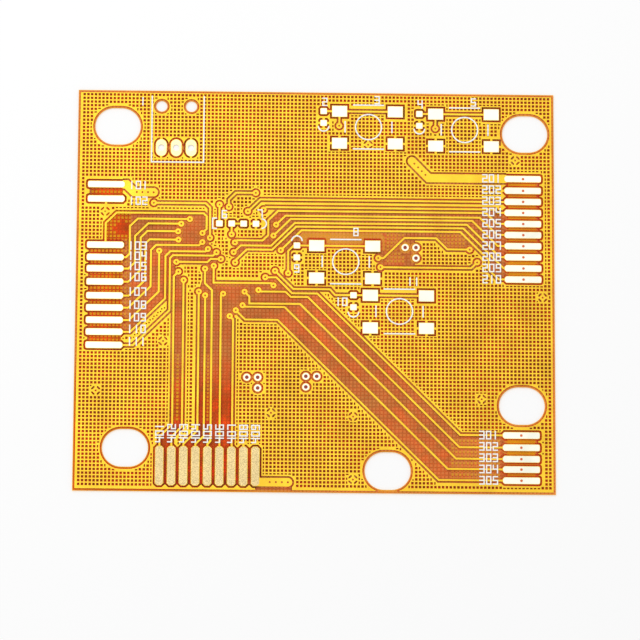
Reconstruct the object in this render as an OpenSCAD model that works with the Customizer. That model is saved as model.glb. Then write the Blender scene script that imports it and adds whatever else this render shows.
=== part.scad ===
/* [Board] */
// Length of the board, along X
board_w = 64; // [63.5:0.5:80]
// Width of the board, along Y
board_d = 54.8; // [54.4:0.2:68]

/* [Layers] */
// Thickness of each polyimide cover film
cover_t = 0.05; // [0.025:0.005:0.125]
// Thickness of each copper foil
copper_t = 0.018; // [0.012:0.001:0.035]
// Thickness of the polyimide base film
base_t = 0.125; // [0.05:0.005:0.2]
// Thickness of the gold finish on bare copper
gold_t = 0.005; // [0.002:0.001:0.01]
// Thickness of the printed ink
ink_t = 0.02; // [0.01:0.005:0.03]

/* [Copper rules] */
// Width of a signal track
track_w = 0.25; // [0.15:0.01:0.3]
// Bare film left round every track, via and pad
gap = 0.25; // [0.15:0.01:0.3]
// Copper pulled back from the edge of the board and of each slot
edge_gap = 0.3; // [0.15:0.05:0.4]
// Width of the spokes that join a ground pad to the ground plane
spoke_w = 0.3; // [0.2:0.05:0.4]
// Width of a power track
power_w = 1.15; // [0.9:0.05:1.3]
// Overlap of each cover film on the rim of a pad
pad_lap = 0.05; // [0.03:0.01:0.1]

/* [Vias] */
// Diameter of the copper land of a via
land_d = 0.8; // [0.6:0.05:0.9]
// Diameter of the drilled hole of a via
via_d = 0.3; // [0.25:0.05:0.4]
// Thickness of the copper plated in a hole
plating_t = 0.018; // [0.015:0.001:0.025]

/* [Slots] */
// Length of each mounting slot
slot_l = 6.1; // [5.4:0.1:6.4]
// Width of each mounting slot
slot_w = 5.1; // [4.4:0.1:5.3]

/* [Contacts] */
// Length of a contact on the left, right and lower right
contact_l = 5; // [4.2:0.1:5.2]
// Width of a contact on the left, right and lower right
contact_w = 0.95; // [0.7:0.05:1.05]
// Pitch of the contacts on the right
right_pitch = 1.53; // [1.5:0.01:1.56]
// Length of a contact on the bottom edge
finger_l = 5.35; // [4.5:0.05:5.4]
// Width of a contact on the bottom edge
finger_w = 1.15; // [0.9:0.05:1.2]
// Pitch of the contacts on the bottom edge
finger_pitch = 1.59; // [1.55:0.01:1.6]

/* [Parts' pads] */
// Diameter of the finished holes for the header's pins
pin_d = 0.9; // [0.7:0.05:1]
// Distance between the header's pins
pin_pitch = 2; // [1.9:0.05:2.2]
// Diameter of the two holes for the header's pegs
peg_d = 1.5; // [1.2:0.05:1.7]
// Distance between the two pegs
peg_pitch = 4; // [3.8:0.1:4.2]
// Distance between a switch's pads, along X
switch_x = 7.5; // [7.3:0.1:7.7]
// Distance between a switch's pads, along Y
switch_y = 4.45; // [4.2:0.05:4.6]
// Distance between the two pads of a chip part
chip_pitch = 1.65; // [1.5:0.05:1.8]
// Outer diameter of a test pad
test_d = 1.05; // [0.9:0.05:1.1]
// Diameter of the hole in a test pad
test_hole_d = 0.5; // [0.3:0.05:0.6]

/* [Legend] */
// Width of the printed lines
ink_w = 0.18; // [0.12:0.01:0.22]

/* [Hidden] */
$fn = 32;

function along(a, b, t) = a + (b - a) * t;

// The four edges of the board, with the origin in the middle of its underside
le = -board_w / 2;
re = board_w / 2;
be = -board_d / 2;
te = board_d / 2;

// Heights of the layers, from the underside up
z_low_copper = cover_t;
z_base = z_low_copper + copper_t;
z_top_copper = z_base + base_t;
z_top_cover = z_top_copper + copper_t;
z_ink = z_top_cover + cover_t;

// Centres of the five mounting slots; the last one keeps a wall of film to the lower edge
slot_wall = 0.45;
slots = [
    [le + 5.35, te - 5], [re - 3.9, te - 5.5], [re - 4.45, -15.45], [le + 6.9, be + 5.8],
    [9.7, be + slot_wall + slot_w / 2]
];

// Left contacts: their middle line, and their rows from the top
left_x = le + 3.9;
left_rows = [6, 4.3, 2.75, 0.95, -0.95, -2.6, -4.3, -5.9, -7.7];
left_power_row = 14.35;
left_ground_row = 12.35;
// Right contacts: the lowest row is 0, and the power contact stands above row 8
right_x = re - 4.2;
right_low = 1.8;
function right_row(i) = right_low + i * right_pitch;
right_power_row = right_row(9) + 0.1;
right_ground_row = right_row(8);
// Contacts at the lower right
low_x = re - 4.55;
low_rows = [-19.45, -21.1, -22.65, -24.05, -25.55];
// Contacts on the bottom edge, numbered from the left
finger_y = be + 3.45;
function finger_x(i) = -20.55 + i * finger_pitch;
ground_finger = 7;
power_finger = 8;
// Where the tracks start, well inside their contacts
left_start = left_x + 1.5;
right_start = right_x - 1.5;
low_start = low_x - 1.5;
finger_start = finger_y + 1.8;
// Corner cuts and roundings of the contacts
contact_cut = 0.25;
finger_cut = 0.3;

// Header: the middle pin and the point between the pegs
pin_mid = [-18.8, te - 7.9];
peg_mid = [-18.8, te - 2.15];
pins = [for (i = [-1:1]) pin_mid + [i * pin_pitch, 0]];
pegs = [for (i = [-1, 1]) peg_mid + [i * peg_pitch / 2, 0]];
pin_pad = [1.5, 2.4];

// Switches, by the middle of their four pads; the pads of the last two keep clear of each other
switch_pad = [2.1, 1.6];
pad_clear = 0.7;
switches = [
    [19.85, te - 5.05], [6.9, te - 4.8], [3.9, 3.95],
    [11.1, 3.95 - switch_y - switch_pad[1] - pad_clear]
];
button_d = 3.5;
function corner(i, sx, sy) = switches[i] + [sx * switch_x / 2, sy * switch_y / 2];
// Two-pad chip parts. One stands beside the upper left pad of each switch, two lie in a row.
chip_pad = [0.95, 0.9];
chip_x = [corner(0, -1, 1)[0] - 2.2, corner(1, -1, 1)[0] - 2.15, -2.5, corner(3, -1, 1)[0] - 2.25];
row_chips = [[-12.9, 9.1], [-9.65, 9.1]];
live_chips = concat(
    [for (i = [0:3]) [chip_x[i], corner(i, -1, 1)[1]]],
    [row_chips[0], row_chips[0] + [chip_pitch, 0], row_chips[1]]
);
ground_chips = concat(
    [for (i = [0:3]) live_chips[i] - [0, chip_pitch]],
    [row_chips[1] + [chip_pitch, 0]]
);

// Test pads, in threes: the corner of each L, and the way its two legs point
test_pitch = 1.45;
test_corners = [[13.45, 6.05, -1, -1], [-7.6, -11.9, -1, -1], [-1.2, -11.7, 1, -1]];
tests = [for (t = test_corners) each [
    [t[0], t[1]], [t[0] + t[2] * test_pitch, t[1]], [t[0], t[1] + t[3] * test_pitch]
]];

// Tracks. Each route runs from its contact, or its first via, to the via at its end.
left_routes = [
    [[left_x, left_rows[0]], [left_x, 9], [left_x + 1.45, 10.45], [-15, 10.45],
        [-14.6, 10.05], [-14.6, 8.3], [-15.15, 7.75]],
    [[left_start, left_rows[1]], [le + 6.65, left_rows[1]], [le + 7.15, 4.8], [le + 7.15, 8.6],
        [le + 8.2, 9.65], [-16.85, 9.65]],
    [[left_start, left_rows[2]], [le + 7, left_rows[2]], [le + 7.85, 3.6], [le + 7.85, 7.25],
        [le + 9.6, 9], [-18, 9]],
    [[left_start, left_rows[3]], [le + 7, left_rows[3]], [le + 8.6, 2.55], [le + 8.6, 7.05],
        [le + 9.5, 7.95], [-18.4, 7.95]],
    [[left_start, left_rows[4]], [le + 7.1, left_rows[4]], [le + 9.25, 1.2], [le + 9.25, 6.25],
        [le + 9.8, 6.8], [-18.35, 6.8]],
    [[left_start, left_rows[5]], [le + 7.05, left_rows[5]], [le + 10, 0.35], [le + 10, 5.35],
        [le + 10.7, 6.05], [-15.6, 6.05], [-15.15, 6.5]],
    [[left_start, left_rows[6]], [le + 7.15, left_rows[6]], [le + 11.1, -0.35], [le + 11.1, 5.25]],
    [[left_start, left_rows[7]], [le + 7.35, left_rows[7]], [le + 11.95, -1.3], [le + 11.95, 4.55],
        [le + 12.6, 5.2], [-14.75, 5.2], [-14.4, 5.55]],
    [[left_start, left_rows[8]], [le + 7.75, left_rows[8]], [le + 12.55, -2.9], [le + 12.55, 4.25],
        [le + 12.95, 4.65], [-13.7, 4.65], [-13.25, 5.1]]
];
// Right routes, from the top row down to the lowest. Their long runs keep their distance from row 7,
// and each run turns down to the left on the slope through its via.
function run_y(down) = right_row(7) - down;
function run_end(down, slope) = [run_y(down) - slope, run_y(down)];
right_routes = [
    [[right_start, right_row(7)], [re - 6.8, run_y(0.05)], run_end(0.05, 19.9), [-9.1, 10.8]],
    [[right_start, right_row(6)], [re - 7.55, right_row(6)], [re - 8, run_y(1.1)], run_end(1.1, 18.05),
        [-7, 11.05]],
    [[right_start, right_row(5)], [re - 7.7, right_row(5)], [re - 9.15, run_y(1.6)], run_end(1.6, 15.95),
        [-6.35, 9.6], [-6.35, 7.55], [-7.1, 6.8], [-10.5, 6.8], [-10.8, 6.5]],
    [[right_start, right_row(4)], [re - 7.65, right_row(4)], [re - 10, run_y(2.25)], run_end(2.25, 14.3),
        [-5.3, 9]],
    [[right_start, right_row(3)], [re - 7.6, right_row(3)], [re - 11, run_y(2.7)], run_end(2.7, 13.15),
        [-5.65, 7.5]],
    [[right_start, right_row(2)], [re - 7.3, right_row(2)], [re - 11.7, run_y(3.25)], run_end(3.25, 12.05),
        [-5.95, 6.1], [-10, 6.1], [-10.95, 5.15]],
    [[right_start, right_row(1)], [re - 6.8, right_row(1)], [re - 12.2, run_y(3.75)], run_end(3.75, 11.35),
        [-5.8, 5.55], [-9.2, 5.55], [-10.75, 4], [-10.75, 3.75]],
    [[right_start, right_row(0)], [re - 7.5, right_row(0)], [re - 8.8, 3.1], [re - 8.8, 4.45],
        [re - 12.6, run_y(4.25)], run_end(4.25, 10.15), [-4.65, 5.5]]
];
// The five slanting tracks keep clear of the lower left pad of the fourth switch
slant = corner(3, -1, -1) * [1, 1] - switch_pad * [1, 1] / 2 - 0.6;
function slant_at(d, y) = [slant - d - y, y];
low_routes = [
    [[low_start, low_rows[0]], slant_at(0, low_rows[0]), slant_at(0, -0.4), [-3.1, -0.4],
        [-5.2, 1.75], [-6.7, 1.75]],
    [[low_start, low_rows[1]], slant_at(1.75, low_rows[1]), slant_at(1.75, -0.9), [-3.25, -0.9],
        [-4, -0.2], [-7.5, -0.2], [-7.6, 0]],
    [[low_start, low_rows[2]], slant_at(3.75, low_rows[2]), slant_at(3.75, -1.85), [-8.8, -1.85],
        [-8.8, -0.9], [-9.45, -0.25]],
    [[low_start, low_rows[3]], slant_at(6.25, low_rows[3]), slant_at(6.25, -2.3), [-9.5, -2.3],
        [-9.7, -2.1]],
    [[low_start, low_rows[4]], slant_at(8.95, low_rows[4]), slant_at(8.95, -4.05), [-9.35, -4.05],
        [-10.6, -2.8]]
];
finger_routes = [
    [[finger_x(0), finger_start], [finger_x(0), be + 7.35], [-18.9, be + 9], [-18.9, 1.8], [-18.3, 2.4]],
    [[finger_x(1), finger_start], [finger_x(1), be + 7.35], [-17.6, be + 8.75], [-17.6, 1.25]],
    [[finger_x(2), finger_start], [finger_x(2), be + 6.4], [-15.55, be + 8.2], [-15.55, -0.3]],
    [[finger_x(3), finger_start], [finger_x(3), be + 6.4], [-14.7, be + 7.45], [-14.7, -0.8]],
    [[finger_x(4), finger_start], [finger_x(4), be + 6.4], [-13.8, be + 6.8], [-13.8, -0.1], [-14.75, 0.85],
        [-14.75, 2.85]],
    [[finger_x(5), finger_start], [-12.6, be + 7], [-12.6, -0.85], [-12.3, -0.55]],
    [[finger_x(6), finger_start], [-10.95, be + 7], [-10.95, -4.05], [-11.4, -3.6]]
];
// Links between two vias, or between a via and a pad
via_links = [
    [[le + 10.3, 11.85], [-14.75, 11.85], [-14.15, 11.25], [-14.15, 7.1]],
    [[-18.6, 3.75], [-14.45, 3.75], [-14, 4.2], [-12.65, 4.2]],
    [[-13.6, 3.25], [-13.6, 0.95], [-5.9, 0.95], [-5.6, 0.65]],
    [[-11.65, 11.4], [-11.65, 12.4], [-10.7, run_y(-0.85)], [-8.05, run_y(-0.85)]],
    [[8.4, 4.55], [9.1, 4.55], [11.9, 7.35], [16.15, 7.35], [17.65, 5.85], [20.65, 5.85]],
    [[8.7, 3.3], [20.85, 3.3], [21.65, 4.1]]
];
chip_links = [
    [live_chips[4], [live_chips[4][0], 11.7]],
    [live_chips[6], live_chips[5], [live_chips[5][0], 7.6]]
];
// Each switch's live net: its chip pad, its two upper pads and its via
switch_routes = [
    [[live_chips[0], corner(0, -1, 1), corner(0, 1, 1)], [corner(0, -1, 1), [16.05, te - 4.85]]],
    [[live_chips[1], corner(1, -1, 1), corner(1, 1, 1)], [corner(1, -1, 1), [3.1, te - 4.6]]],
    [[corner(2, 1, 1), corner(2, -1, 1), live_chips[2]],
        [live_chips[2], live_chips[2] - [0.4, 0], [live_chips[2][0] - 1.15, 5.4], [-3.65, 2.35]]],
    [[corner(3, 1, 1), corner(3, -1, 1), live_chips[3]],
        [live_chips[3], [2.65, live_chips[3][1]], [1.95, 0.2], [-2.95, 0.2], [-5.4, 2.65]]]
];
// Power tracks: a wide band from a contact, with a round end and four vias
left_inner = left_x + contact_l / 2;
right_inner = right_x - contact_l / 2;
left_power_route = [
    [left_inner - 0.3, left_power_row], [left_inner + 0.2, left_power_row], [le + 7.65, 13.3],
    [-21.75, 13.3]
];
right_power_route = [
    [right_inner + 0.3, right_power_row], [15.15, right_power_row], [12.9, te - 9.4]
];
bottom_power_route = [[finger_x(power_finger), be + 1.35], [-3.5, be + 1.35]];
power_vias = concat(
    [for (i = [0:3]) [-21.75 - i * 0.75, 13.3]],
    [for (i = [0:3]) along(right_power_route[2], right_power_route[1], 0.15 + i * 0.22)],
    [for (i = [0:3]) [-3.5 - i * 0.8, be + 1.35]]
);
// Vias that stand in the ground plane, plain or with a thermal relief. One stands between the right
// power contact and the slot above it.
between_y = along(right_power_row + contact_w / 2, slots[1][1] - slot_w / 2, 0.65);
ground_vias = [[-16.7, -0.15], [re - 7.3, run_y(0.8)], [-13.9, 6.25], [-12, 7]];
relief_vias = [
    [7, te - 7.2], [re - 5.2, between_y], [re - 1.6, -0.65], [22.2, -14.6], [5.1, -17.1],
    [5.1, be + 1.8], [-5.8, -16.7], [-20.25, -7.1], [le + 2.9, -13.9], [le + 3.8, 10.6]
];

function end_of(route) = route[len(route) - 1];
signal_vias = concat(
    [for (r = concat(left_routes, right_routes, low_routes, finger_routes, via_links, chip_links)) end_of(r)],
    [for (r = via_links) r[0]],
    [for (s = switch_routes) end_of(s[1])]
);
all_vias = concat(signal_vias, power_vias, ground_vias, relief_vias);

// Pocket between four vias, where the ground planes would be cut off
via_pocket = [
    end_of(left_routes[0]), end_of(via_links[0]), end_of(left_routes[7]), end_of(left_routes[5])
];
// Spaces between tracks where the top ground plane would be cut off, so it is left out
function turned(list) = [for (i = [len(list) - 1:-1:0]) list[i]];
function between(a, b) = concat(a, turned(b));
function part_of(list, a, b) = [for (i = [a:b]) list[i]];
bare_zones = [
    between(left_routes[0], left_routes[7]),
    between(part_of(left_routes[8], 2, 6), via_links[1]),
    between(finger_routes[0], finger_routes[1]),
    between(finger_routes[2], finger_routes[6]),
    concat([[-14.75, 2.85], [-13.6, 3.25], [-13.6, 0.95], [-7, 0.95]], turned(low_routes[0]),
        low_routes[4], [[-11.4, -3.6], [-15.55, -0.3]]),
    between(right_routes[2], concat(part_of(right_routes[7], 0, 6), part_of(right_routes[6], 4, 7))),
    between(part_of(right_routes[1], 0, 2), part_of(right_routes[2], 0, 2)),
    concat([[-3.65, 5.3]], turned(part_of(right_routes[7], 4, 6)), [[21.2, 6.45]], turned(via_links[4]),
        [corner(2, 1, 1), live_chips[2]]),
    [via_links[4][0], via_links[4][1], via_links[4][2], [13.3, 7.35], tests[0], tests[2], [13.2, 3.3],
        via_links[5][0]],
    via_pocket,
    [left_routes[7][5], end_of(left_routes[7]), end_of(left_routes[8]), left_routes[8][5]],
    [via_links[1][1], end_of(via_links[1]), via_links[2][0], end_of(finger_routes[4])],
    [[finger_x(power_finger), be + 0.2], [-2.95, be + 0.2], [-2.95, be + 0.9],
        [finger_x(power_finger), be + 0.9]]
];
// Windows of the underside where the ground plane stops: round the third switch's live pads
low_zone = [[-2.2, 8.4], [8.4, 8.4], [9.25, 7.5], [9.25, 5.6], [-2.2, 5.6]];

// Outline of a straight-sided strip of width w along a route, mitred at its bends
function unit(v) = v / norm(v);
function mitre(r, i) =
    let (a = unit(i == 0 ? r[1] - r[0] : r[i] - r[i - 1]),
        b = i == 0 || i == len(r) - 1 ? a : unit(r[i + 1] - r[i]),
        n = [-a[1] - b[1], a[0] + b[0]])
    2 * n / (n * n);
function strip(r, w) = concat(
    [for (i = [0:len(r) - 1]) r[i] - mitre(r, i) * w / 2],
    [for (i = [len(r) - 1:-1:0]) r[i] + mitre(r, i) * w / 2]
);

module track(route, grow = 0) {
    polygon(strip(route, track_w + 2 * grow));
}

module dots(places, d) {
    for (p = places) {
        translate(p)
            circle(d = d);
    }
}

// Rectangle of the given size with its four corners cut at 45 degrees
module cut_pad(size, cut, grow = 0) {
    x = size[0] / 2 + grow;
    y = size[1] / 2 + grow;
    c = cut + grow * 0.6;
    polygon([
        [x, y - c], [x - c, y], [c - x, y], [-x, y - c],
        [-x, c - y], [c - x, -y], [x - c, -y], [x, c - y]
    ]);
}

// Rectangle with cut corners on its inner end and rounded ones on its outer end
module contact(grow = 0) {
    x = contact_l / 2 + grow;
    y = contact_w / 2 + grow;
    c = contact_cut + grow * 0.6;
    polygon(concat(
        [[-x, c - y], [c - x, -y]],
        [for (a = [-90:30:90]) [x - c + c * cos(a), sign(a) * (y - c) + c * sin(a)]],
        [[c - x, y], [-x, y - c]]
    ));
}

// Rounded slot of the board, grown on all sides
module slot(grow = 0) {
    r = slot_w / 2 + grow;
    shift = (slot_l - slot_w) / 2;
    for (s = [-1, 1]) {
        translate([s * shift, 0])
            circle(r, $fn = 96);
    }
    square([2 * shift, 2 * r], center = true);
}

module oval(size, grow = 0) {
    r = size[0] / 2 + grow;
    shift = (size[1] - size[0]) / 2;
    for (s = [-1, 1]) {
        translate([0, s * shift])
            circle(r);
    }
    square([2 * r, 2 * shift], center = true);
}

module pin_land(grow = 0) {
    oval(pin_pad, grow);
}

// Power band with its round end
module power_band(route, grow = 0) {
    polygon(strip(route, power_w + 2 * grow));
    translate(end_of(route))
        circle(power_w / 2 + grow);
}

module at(places) {
    for (p = places) {
        translate(p)
            children();
    }
}

// The rows of contacts, each drawn where it lies
module left_contacts(rows, grow = 0) {
    for (y = rows) {
        translate([left_x, y])
            rotate(180)
                contact(grow);
    }
}

module right_contacts(rows, grow = 0) {
    for (y = rows) {
        translate([right_x, y])
            contact(grow);
    }
}

module low_contacts(grow = 0) {
    for (y = low_rows) {
        translate([low_x, y])
            contact(grow);
    }
}

module fingers(numbers, grow = 0) {
    for (i = numbers) {
        translate([finger_x(i), finger_y])
            cut_pad([finger_w, finger_l], finger_cut, grow);
    }
}

right_signal_rows = [for (i = [0:7]) right_row(i)];

// Bare film of a whole row of contacts: round each contact and in the gaps between them
module row_gap(x, rows) {
    low = min(rows);
    high = max(rows);
    translate([x - contact_l / 2 + contact_cut, low])
        square([contact_l - 2 * contact_cut, high - low]);
}

module contact_gaps() {
    left_contacts(concat(left_rows, [left_power_row, left_ground_row]), gap);
    right_contacts(concat(right_signal_rows, [right_power_row, right_ground_row]), gap);
    low_contacts(gap);
    fingers([0:power_finger], gap);
    row_gap(left_x, left_rows);
    row_gap(left_x, [left_power_row, left_ground_row]);
    row_gap(right_x, concat(right_signal_rows, [right_power_row]));
    row_gap(low_x, low_rows);
    translate([finger_x(0), finger_y - finger_l / 2 + finger_cut / 2])
        square([power_finger * finger_pitch, finger_l - finger_cut]);
}

// Film outline with its slots and peg holes, pulled back by inset
module film_2d(inset = 0) {
    difference() {
        square([board_w - 2 * inset, board_d - 2 * inset], center = true);
        at(slots)
            slot(inset);
        dots(pegs, peg_d + 2 * inset);
    }
}

module signal_gaps() {
    for (r = concat(left_routes, right_routes, low_routes, finger_routes, via_links, chip_links)) {
        track(r, gap);
    }
    for (s = switch_routes, r = s) {
        track(r, gap);
    }
    dots(signal_vias, land_d + 2 * gap);
}

module pad_gaps() {
    for (i = [0:3], sx = [-1, 1], sy = [-1, 1]) {
        translate(corner(i, sx, sy))
            square(switch_pad + 2 * [gap, gap], center = true);
    }
    at(concat(live_chips, ground_chips))
        cut_pad(chip_pad, 0.1, gap);
    at(pins)
        pin_land(gap);
    dots(tests, test_d + 2 * gap);
}

module relief_rings() {
    at(relief_vias)
        difference() {
            circle(d = land_d + 2 * gap);
            circle(d = land_d);
        }
}

module cross(x, y) {
    square([x, spoke_w], center = true);
    square([spoke_w, y], center = true);
}

// Pads that belong to the ground plane, with the spokes that join them to it
module ground_pads_2d() {
    difference() {
        at(relief_vias)
            cross(land_d + 2.5 * gap, land_d + 2.5 * gap);
        right_contacts([right_power_row], gap);
    }
    for (i = [0:3], sx = [-1, 1]) {
        translate(corner(i, sx, -1)) {
            square(switch_pad, center = true);
            cross(switch_pad[0] + 2.5 * gap, switch_pad[1] + 2.5 * gap);
        }
    }
    at(ground_chips) {
        cut_pad(chip_pad, 0.1);
        cross(chip_pad[0] + 2.5 * gap, chip_pad[1] + 2.5 * gap);
    }
    at([pins[0], pins[2]]) {
        pin_land();
        cross(0.1, pin_pad[1] + 2.5 * gap);
    }
    left_contacts([left_ground_row]);
    right_contacts([right_ground_row]);
    fingers([ground_finger]);
    translate([left_x, left_ground_row - contact_w / 2 - gap])
        square([spoke_w, 2.5 * gap], center = true);
    translate([right_x - contact_l / 2 - gap, right_ground_row])
        square([2.5 * gap, spoke_w], center = true);
    translate([finger_x(ground_finger), finger_y + finger_l / 2 + gap])
        square([spoke_w, 2.5 * gap], center = true);
}

// Raises a flat copper shape into its foil, drilled for the given vias
module foil(z, vias) {
    translate([0, 0, z])
        linear_extrude(copper_t)
            difference() {
                union() {
                    children();
                }
                dots(vias, via_d);
            }
}

module base_film() {
    color("orange", 0.6)
        translate([0, 0, z_base])
            linear_extrude(base_t)
                difference() {
                    film_2d();
                    dots(all_vias, via_d);
                    dots(pins, pin_d + 2 * plating_t);
                    dots(tests, test_hole_d + 2 * plating_t);
                }
}

module top_ground() {
    color("gold")
        foil(z_top_copper, concat(ground_vias, relief_vias))
            difference() {
                union() {
                    difference() {
                        film_2d(edge_gap);
                        contact_gaps();
                        signal_gaps();
                        pad_gaps();
                        relief_rings();
                        power_band(left_power_route, gap);
                        power_band(right_power_route, gap);
                        power_band(bottom_power_route, gap);
                        for (z = bare_zones) {
                            polygon(z);
                        }
                    }
                    ground_pads_2d();
                }
                dots([pins[0], pins[2]], pin_d + 2 * plating_t);
            }
}

module bottom_ground() {
    color("peru")
        foil(z_low_copper, concat(ground_vias, relief_vias))
            difference() {
                film_2d(edge_gap);
                right_contacts(concat(right_signal_rows, [right_power_row, right_ground_row]), gap);
                low_contacts(gap);
                row_gap(right_x, concat(right_signal_rows, [right_power_row]));
                row_gap(low_x, low_rows);
                dots(signal_vias, land_d + 2 * gap);
                dots(tests, test_d + 2 * gap);
                at([pins[1]])
                    pin_land(gap);
                dots([pins[0], pins[2]], pin_d + 2 * plating_t);
                for (i = [0:2]) {
                    power_strip(i, gap);
                }
                polygon(low_zone);
                polygon(via_pocket);
            }
}

// Land on the underside that the four vias of power band i share
module power_strip(i, grow = 0) {
    start = power_vias[4 * i];
    run = power_vias[4 * i + 3] - start;
    w = land_d + 2 * grow;
    translate(start)
        rotate(atan2(run[1], run[0])) {
            translate([0, -w / 2])
                square([norm(run), w]);
            dots([[0, 0], [norm(run), 0]], w);
        }
}

module bottom_lands() {
    color("peru")
        foil(z_low_copper, concat(signal_vias, power_vias)) {
            dots(signal_vias, land_d);
            for (i = [0:2]) {
                power_strip(i);
            }
        }
}

module left_tracks() {
    color("gold")
        foil(z_top_copper, [for (r = left_routes) end_of(r)]) {
            left_contacts(left_rows);
            for (r = left_routes) {
                track(r);
            }
            dots([for (r = left_routes) end_of(r)], land_d);
        }
}

module right_tracks() {
    color("gold")
        foil(z_top_copper, [for (r = right_routes) end_of(r)]) {
            right_contacts(right_signal_rows);
            for (r = right_routes) {
                track(r);
            }
            dots([for (r = right_routes) end_of(r)], land_d);
        }
}

module lower_right_tracks() {
    color("gold")
        foil(z_top_copper, [for (r = low_routes) end_of(r)]) {
            low_contacts();
            for (r = low_routes) {
                track(r);
            }
            dots([for (r = low_routes) end_of(r)], land_d);
        }
}

module bottom_tracks() {
    color("gold")
        foil(z_top_copper, [for (r = finger_routes) end_of(r)]) {
            fingers([0:6]);
            for (r = finger_routes) {
                track(r);
            }
            dots([for (r = finger_routes) end_of(r)], land_d);
        }
}

module centre_links() {
    ends = concat([for (r = concat(via_links, chip_links)) end_of(r)], [for (r = via_links) r[0]]);
    color("gold")
        foil(z_top_copper, ends) {
            for (r = concat(via_links, chip_links)) {
                track(r);
            }
            dots(ends, land_d);
            at([for (i = [4:6]) live_chips[i]])
                cut_pad(chip_pad, 0.1);
        }
}

module left_power() {
    color("gold")
        foil(z_top_copper, part_of(power_vias, 0, 3)) {
            left_contacts([left_power_row]);
            power_band(left_power_route);
        }
}

module right_power() {
    color("gold")
        foil(z_top_copper, part_of(power_vias, 4, 7)) {
            right_contacts([right_power_row]);
            power_band(right_power_route);
        }
}

module bottom_power() {
    color("gold")
        foil(z_top_copper, part_of(power_vias, 8, 11)) {
            fingers([power_finger]);
            power_band(bottom_power_route);
        }
}

// Live net of switch i: two pads, the chip pad beside them and the way to the via
module switch_link(i) {
    via = end_of(switch_routes[i][1]);
    color("gold")
        foil(z_top_copper, [via]) {
            for (sx = [-1, 1]) {
                translate(corner(i, sx, 1))
                    square(switch_pad, center = true);
            }
            translate(live_chips[i])
                cut_pad(chip_pad, 0.1);
            for (r = switch_routes[i]) {
                track(r);
            }
            dots([via], land_d);
        }
}

// Copper plated through a hole, from one outer copper face to the other
module barrel(hole_d) {
    translate([0, 0, z_low_copper])
        linear_extrude(base_t + 2 * copper_t)
            difference() {
                circle(d = hole_d + 2 * plating_t);
                circle(d = hole_d);
            }
}

module header_pads() {
    color("gold") {
        for (i = [0:2]) {
            translate(pins[i])
                barrel(pin_d);
        }
        translate(pins[1])
            for (z = [z_low_copper, z_top_copper]) {
                translate([0, 0, z])
                    linear_extrude(copper_t)
                        difference() {
                            pin_land();
                            circle(d = pin_d);
                        }
            }
    }
}

module test_pads() {
    color("gold")
        for (p = tests) {
            translate(p) {
                barrel(test_hole_d);
                for (z = [z_low_copper, z_top_copper]) {
                    translate([0, 0, z])
                        linear_extrude(copper_t)
                            difference() {
                                circle(d = test_d);
                                circle(d = test_hole_d);
                            }
                }
            }
        }
}

module via_barrels() {
    color("gold")
        for (p = all_vias) {
            translate(p)
                barrel(via_d - 2 * plating_t);
        }
}

// Thin finish on bare copper, as far in from its rim as the cover film laps it
module finish() {
    color("ivory")
        translate([0, 0, z_top_cover])
            linear_extrude(gold_t)
                children();
}

module left_gold() {
    finish()
        left_contacts(concat(left_rows, [left_power_row, left_ground_row]), -pad_lap);
}

module right_gold() {
    finish()
        right_contacts(concat(right_signal_rows, [right_power_row, right_ground_row]), -pad_lap);
}

module lower_right_gold() {
    finish()
        low_contacts(-pad_lap);
}

module bottom_gold() {
    finish()
        fingers([0:power_finger], -pad_lap);
}

module switch_faces() {
    for (i = [0:3], sx = [-1, 1], sy = [-1, 1]) {
        translate(corner(i, sx, sy))
            square(switch_pad - 2 * [pad_lap, pad_lap], center = true);
    }
}

module switch_gold() {
    finish()
        switch_faces();
}

module chip_faces() {
    at(concat(live_chips, ground_chips))
        cut_pad(chip_pad, 0.1, -pad_lap);
}

module chip_gold() {
    finish()
        chip_faces();
}

module header_gold() {
    finish()
        at(pins)
            difference() {
                pin_land(-pad_lap);
                circle(d = pin_d);
            }
}

module test_gold() {
    finish()
        at(tests)
            difference() {
                circle(d = test_d - 2 * pad_lap);
                circle(d = test_hole_d);
            }
}

module top_cover() {
    color("orange", 0.35)
        translate([0, 0, z_top_cover])
            linear_extrude(cover_t)
                difference() {
                    film_2d();
                    left_contacts(concat(left_rows, [left_power_row, left_ground_row]), -pad_lap);
                    right_contacts(concat(right_signal_rows, [right_power_row, right_ground_row]), -pad_lap);
                    low_contacts(-pad_lap);
                    fingers([0:power_finger], -pad_lap);
                    switch_faces();
                    chip_faces();
                    at(pins)
                        pin_land(-pad_lap);
                    dots(tests, test_d - 2 * pad_lap);
                }
}

module bottom_cover() {
    color("orange", 0.35)
        linear_extrude(cover_t)
            difference() {
                film_2d();
                at(pins)
                    pin_land(-pad_lap);
                dots(tests, test_d - 2 * pad_lap);
            }
}

// Printed line of length l along X or Y, centred on a point
module ink_x(p, l) {
    translate(p)
        square([l, ink_w], center = true);
}

module ink_y(p, l) {
    translate(p)
        square([ink_w, l], center = true);
}

// Half ring that bulges towards the angle turn
module ink_arc(p, r, turn) {
    translate(p)
        rotate(turn)
            difference() {
                circle(r + ink_w / 2);
                circle(r - ink_w / 2);
                translate([-2 * r, -2 * r])
                    square([2 * r, 4 * r]);
            }
}

module switch_outline(i) {
    c = switches[i] + [0.15, 0.05];
    translate(c)
        difference() {
            circle(d = button_d + ink_w, $fn = 96);
            circle(d = button_d - ink_w, $fn = 96);
        }
    for (s = [-1, 1]) {
        ink_x(c + [0, s * 3.05], 4.2);
        ink_y(c + [s * 3.15, 0], 1.6);
    }
}

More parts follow.
